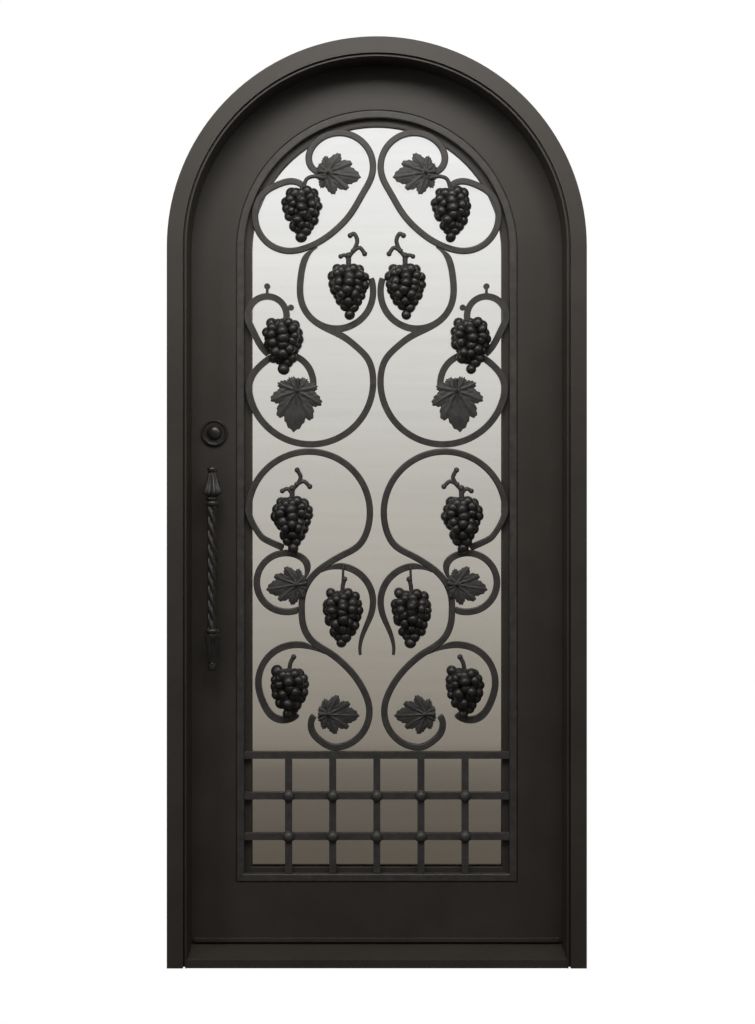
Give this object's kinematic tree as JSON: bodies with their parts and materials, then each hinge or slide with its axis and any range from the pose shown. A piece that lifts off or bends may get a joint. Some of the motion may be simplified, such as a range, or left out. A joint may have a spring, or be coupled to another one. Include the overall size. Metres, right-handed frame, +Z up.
{
  "type": "wrought iron door",
  "caption": "Arched wrought iron entry door in its steel frame, with a grapevine scroll grille over a tall glass panel, a lattice foot and a twisted pull handle.",
  "frame": {"origin": "centre of the underside of the sill, midway through the frame's depth", "axes": "+X to the right seen from outside, -Y towards the outside, +Z up"},
  "size_m": [0.94, 0.219, 2.086],
  "materials": {
    "bronze_paint": "satin dark bronze paint, fine hand-brushed texture",
    "wrought_iron": "satin brown-black paint over forged bar and castings",
    "hardware_iron": "semi-gloss brown-black",
    "clear_glass": "faintly grey insulated glass",
    "rubber_seal": "matt black",
    "lock_steel": "brushed, dulled"
  },
  "bodies": {
    "frame": {"frame_jamb_left": "bronze_paint", "frame_jamb_right": "bronze_paint", "frame_head_arch": "bronze_paint", "sill_threshold": "bronze_paint", "weatherstrip": "rubber_seal", "strike_plate": "lock_steel", "hinge_frame_low": "hardware_iron", "hinge_frame_mid": "hardware_iron", "hinge_frame_top": "hardware_iron"},
    "leaf": {"hinge_leaf_low": "hardware_iron", "hinge_leaf_mid": "hardware_iron", "hinge_leaf_top": "hardware_iron", "leaf_stile_latch": "bronze_paint", "leaf_stile_hinge": "bronze_paint", "leaf_head_rail": "bronze_paint", "leaf_bottom_rail": "bronze_paint", "leaf_skin_outside": "bronze_paint", "leaf_skin_inside": "bronze_paint", "drip_bar": "bronze_paint", "glass_frame": "bronze_paint", "glass_pane": "clear_glass", "glazing_bead": "bronze_paint", "grille_surround": "wrought_iron", "lattice_grid": "wrought_iron", "crown_scroll_left": "wrought_iron", "crown_scroll_right": "wrought_iron", "middle_scroll_left": "wrought_iron", "middle_scroll_right": "wrought_iron", "side_scroll_left": "wrought_iron", "side_scroll_right": "wrought_iron", "waist_scroll_left": "wrought_iron", "waist_scroll_right": "wrought_iron", "heart_scroll_left": "wrought_iron", "heart_scroll_right": "wrought_iron", "ring_scroll_left": "wrought_iron", "ring_scroll_right": "wrought_iron", "foot_scroll_left": "wrought_iron", "foot_scroll_right": "wrought_iron", "grapes_left": "wrought_iron", "grapes_right": "wrought_iron", "vine_leaves_left": "wrought_iron", "vine_leaves_right": "wrought_iron", "deadbolt_rosette": "hardware_iron", "deadbolt_cylinder": "hardware_iron", "deadbolt_thumb_turn": "hardware_iron", "deadbolt_faceplate": "lock_steel", "pull_top_mount": "hardware_iron", "pull_grip": "hardware_iron", "pull_bottom_mount": "hardware_iron", "pull_handle_inside": "hardware_iron"}
  },
  "joints": [
    {"name": "leaf_hinge", "type": "hinge", "parent": "frame", "child": "leaf", "pos_m": [0.44, 0.086, 0.9], "axis": [0, 0, -1], "range_deg": [0, 110]}
  ]
}
